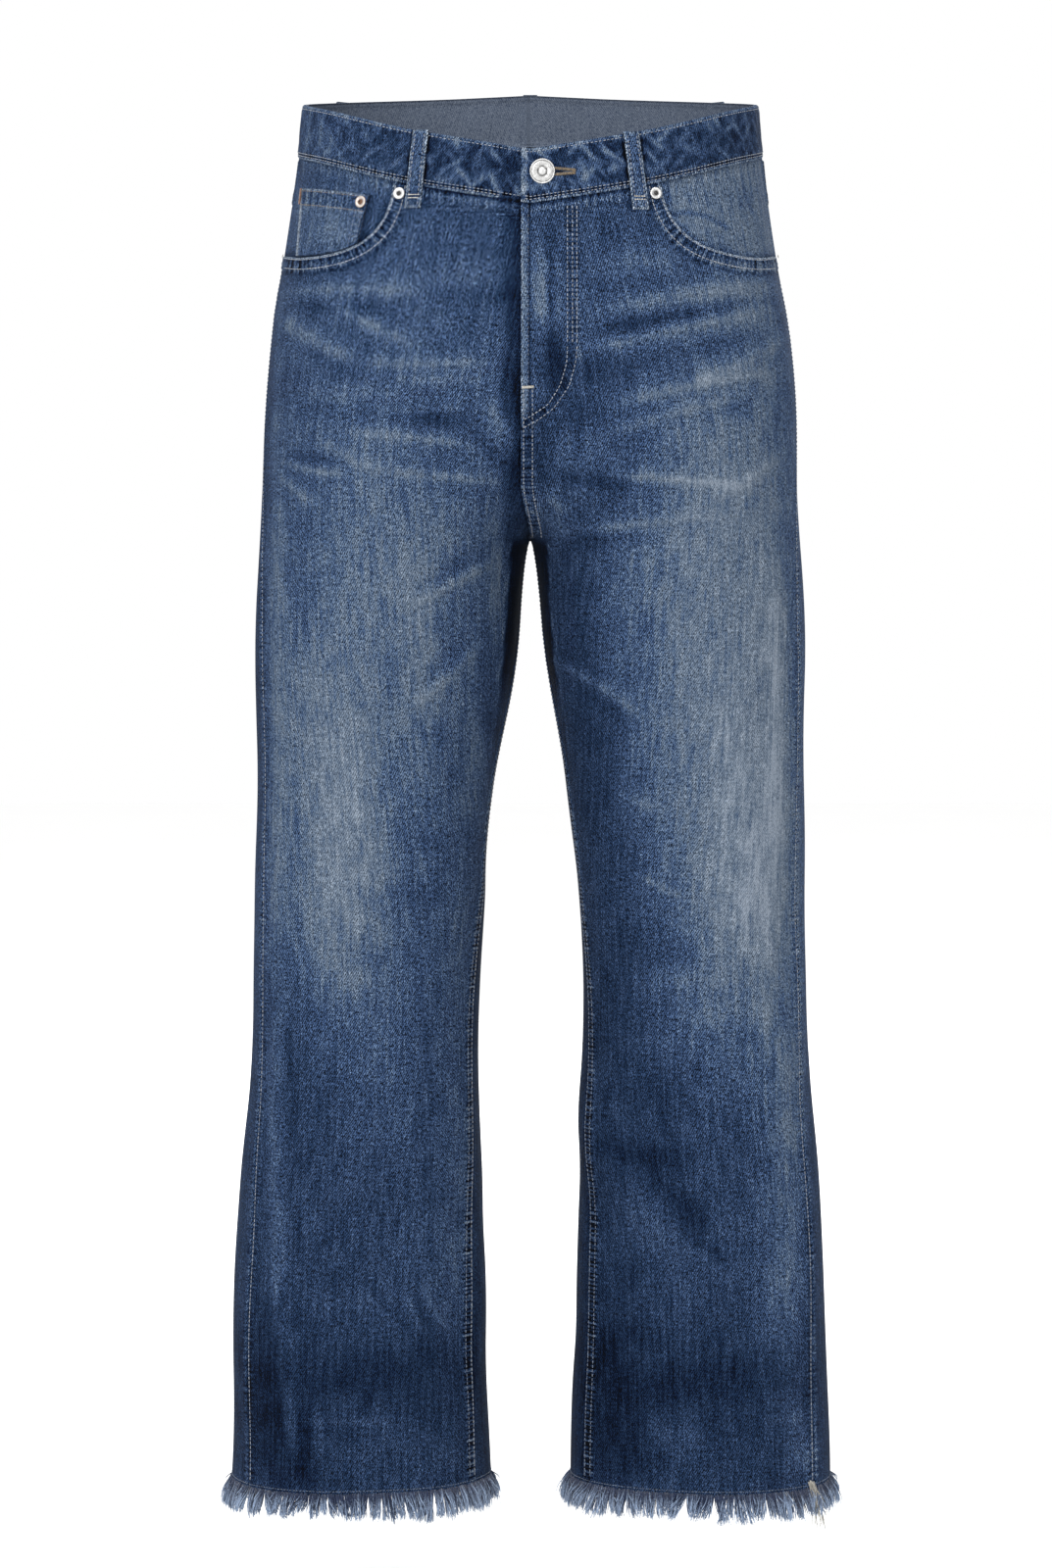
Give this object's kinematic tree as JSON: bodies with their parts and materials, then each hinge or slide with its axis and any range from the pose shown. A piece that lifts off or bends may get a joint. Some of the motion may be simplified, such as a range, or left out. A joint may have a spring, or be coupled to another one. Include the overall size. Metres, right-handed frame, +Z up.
{
  "type": "wide leg jeans",
  "caption": "Wide leg denim jeans in their worn, hollow form: five pockets, lapped fly, button waistband with belt loops, and raw frayed hems.",
  "frame": {"origin": "middle of the waist opening, level with the top of the waistband at the side seams", "axes": "+X towards the wearer's left side, -Y to the front, +Z up through the waist"},
  "size_m": [0.4556, 0.262, 1.0718],
  "materials": {
    "denim": "washed indigo twill, rough",
    "frayed_denim": "pale loose cotton threads",
    "silver_metal": "worn plated metal",
    "copper_metal": "worn copper-toned metal"
  },
  "bodies": {
    "root": {"front_left": "denim", "front_right": "denim", "back_left": "denim", "back_right": "denim", "yoke_left": "denim", "yoke_right": "denim", "waistband": "denim", "fly_facing": "denim", "pocket_facing_left": "denim", "pocket_facing_right": "denim", "coin_pocket": "denim", "back_pocket_left": "denim", "back_pocket_right": "denim", "belt_loop_1": "denim", "belt_loop_2": "denim", "belt_loop_3": "denim", "belt_loop_4": "denim", "belt_loop_5": "denim", "fringe_left": "frayed_denim", "fringe_right": "frayed_denim", "waist_button": "silver_metal", "rivet_left": "silver_metal", "rivet_right": "silver_metal", "rivet_coin": "copper_metal"}
  },
  "joints": []
}
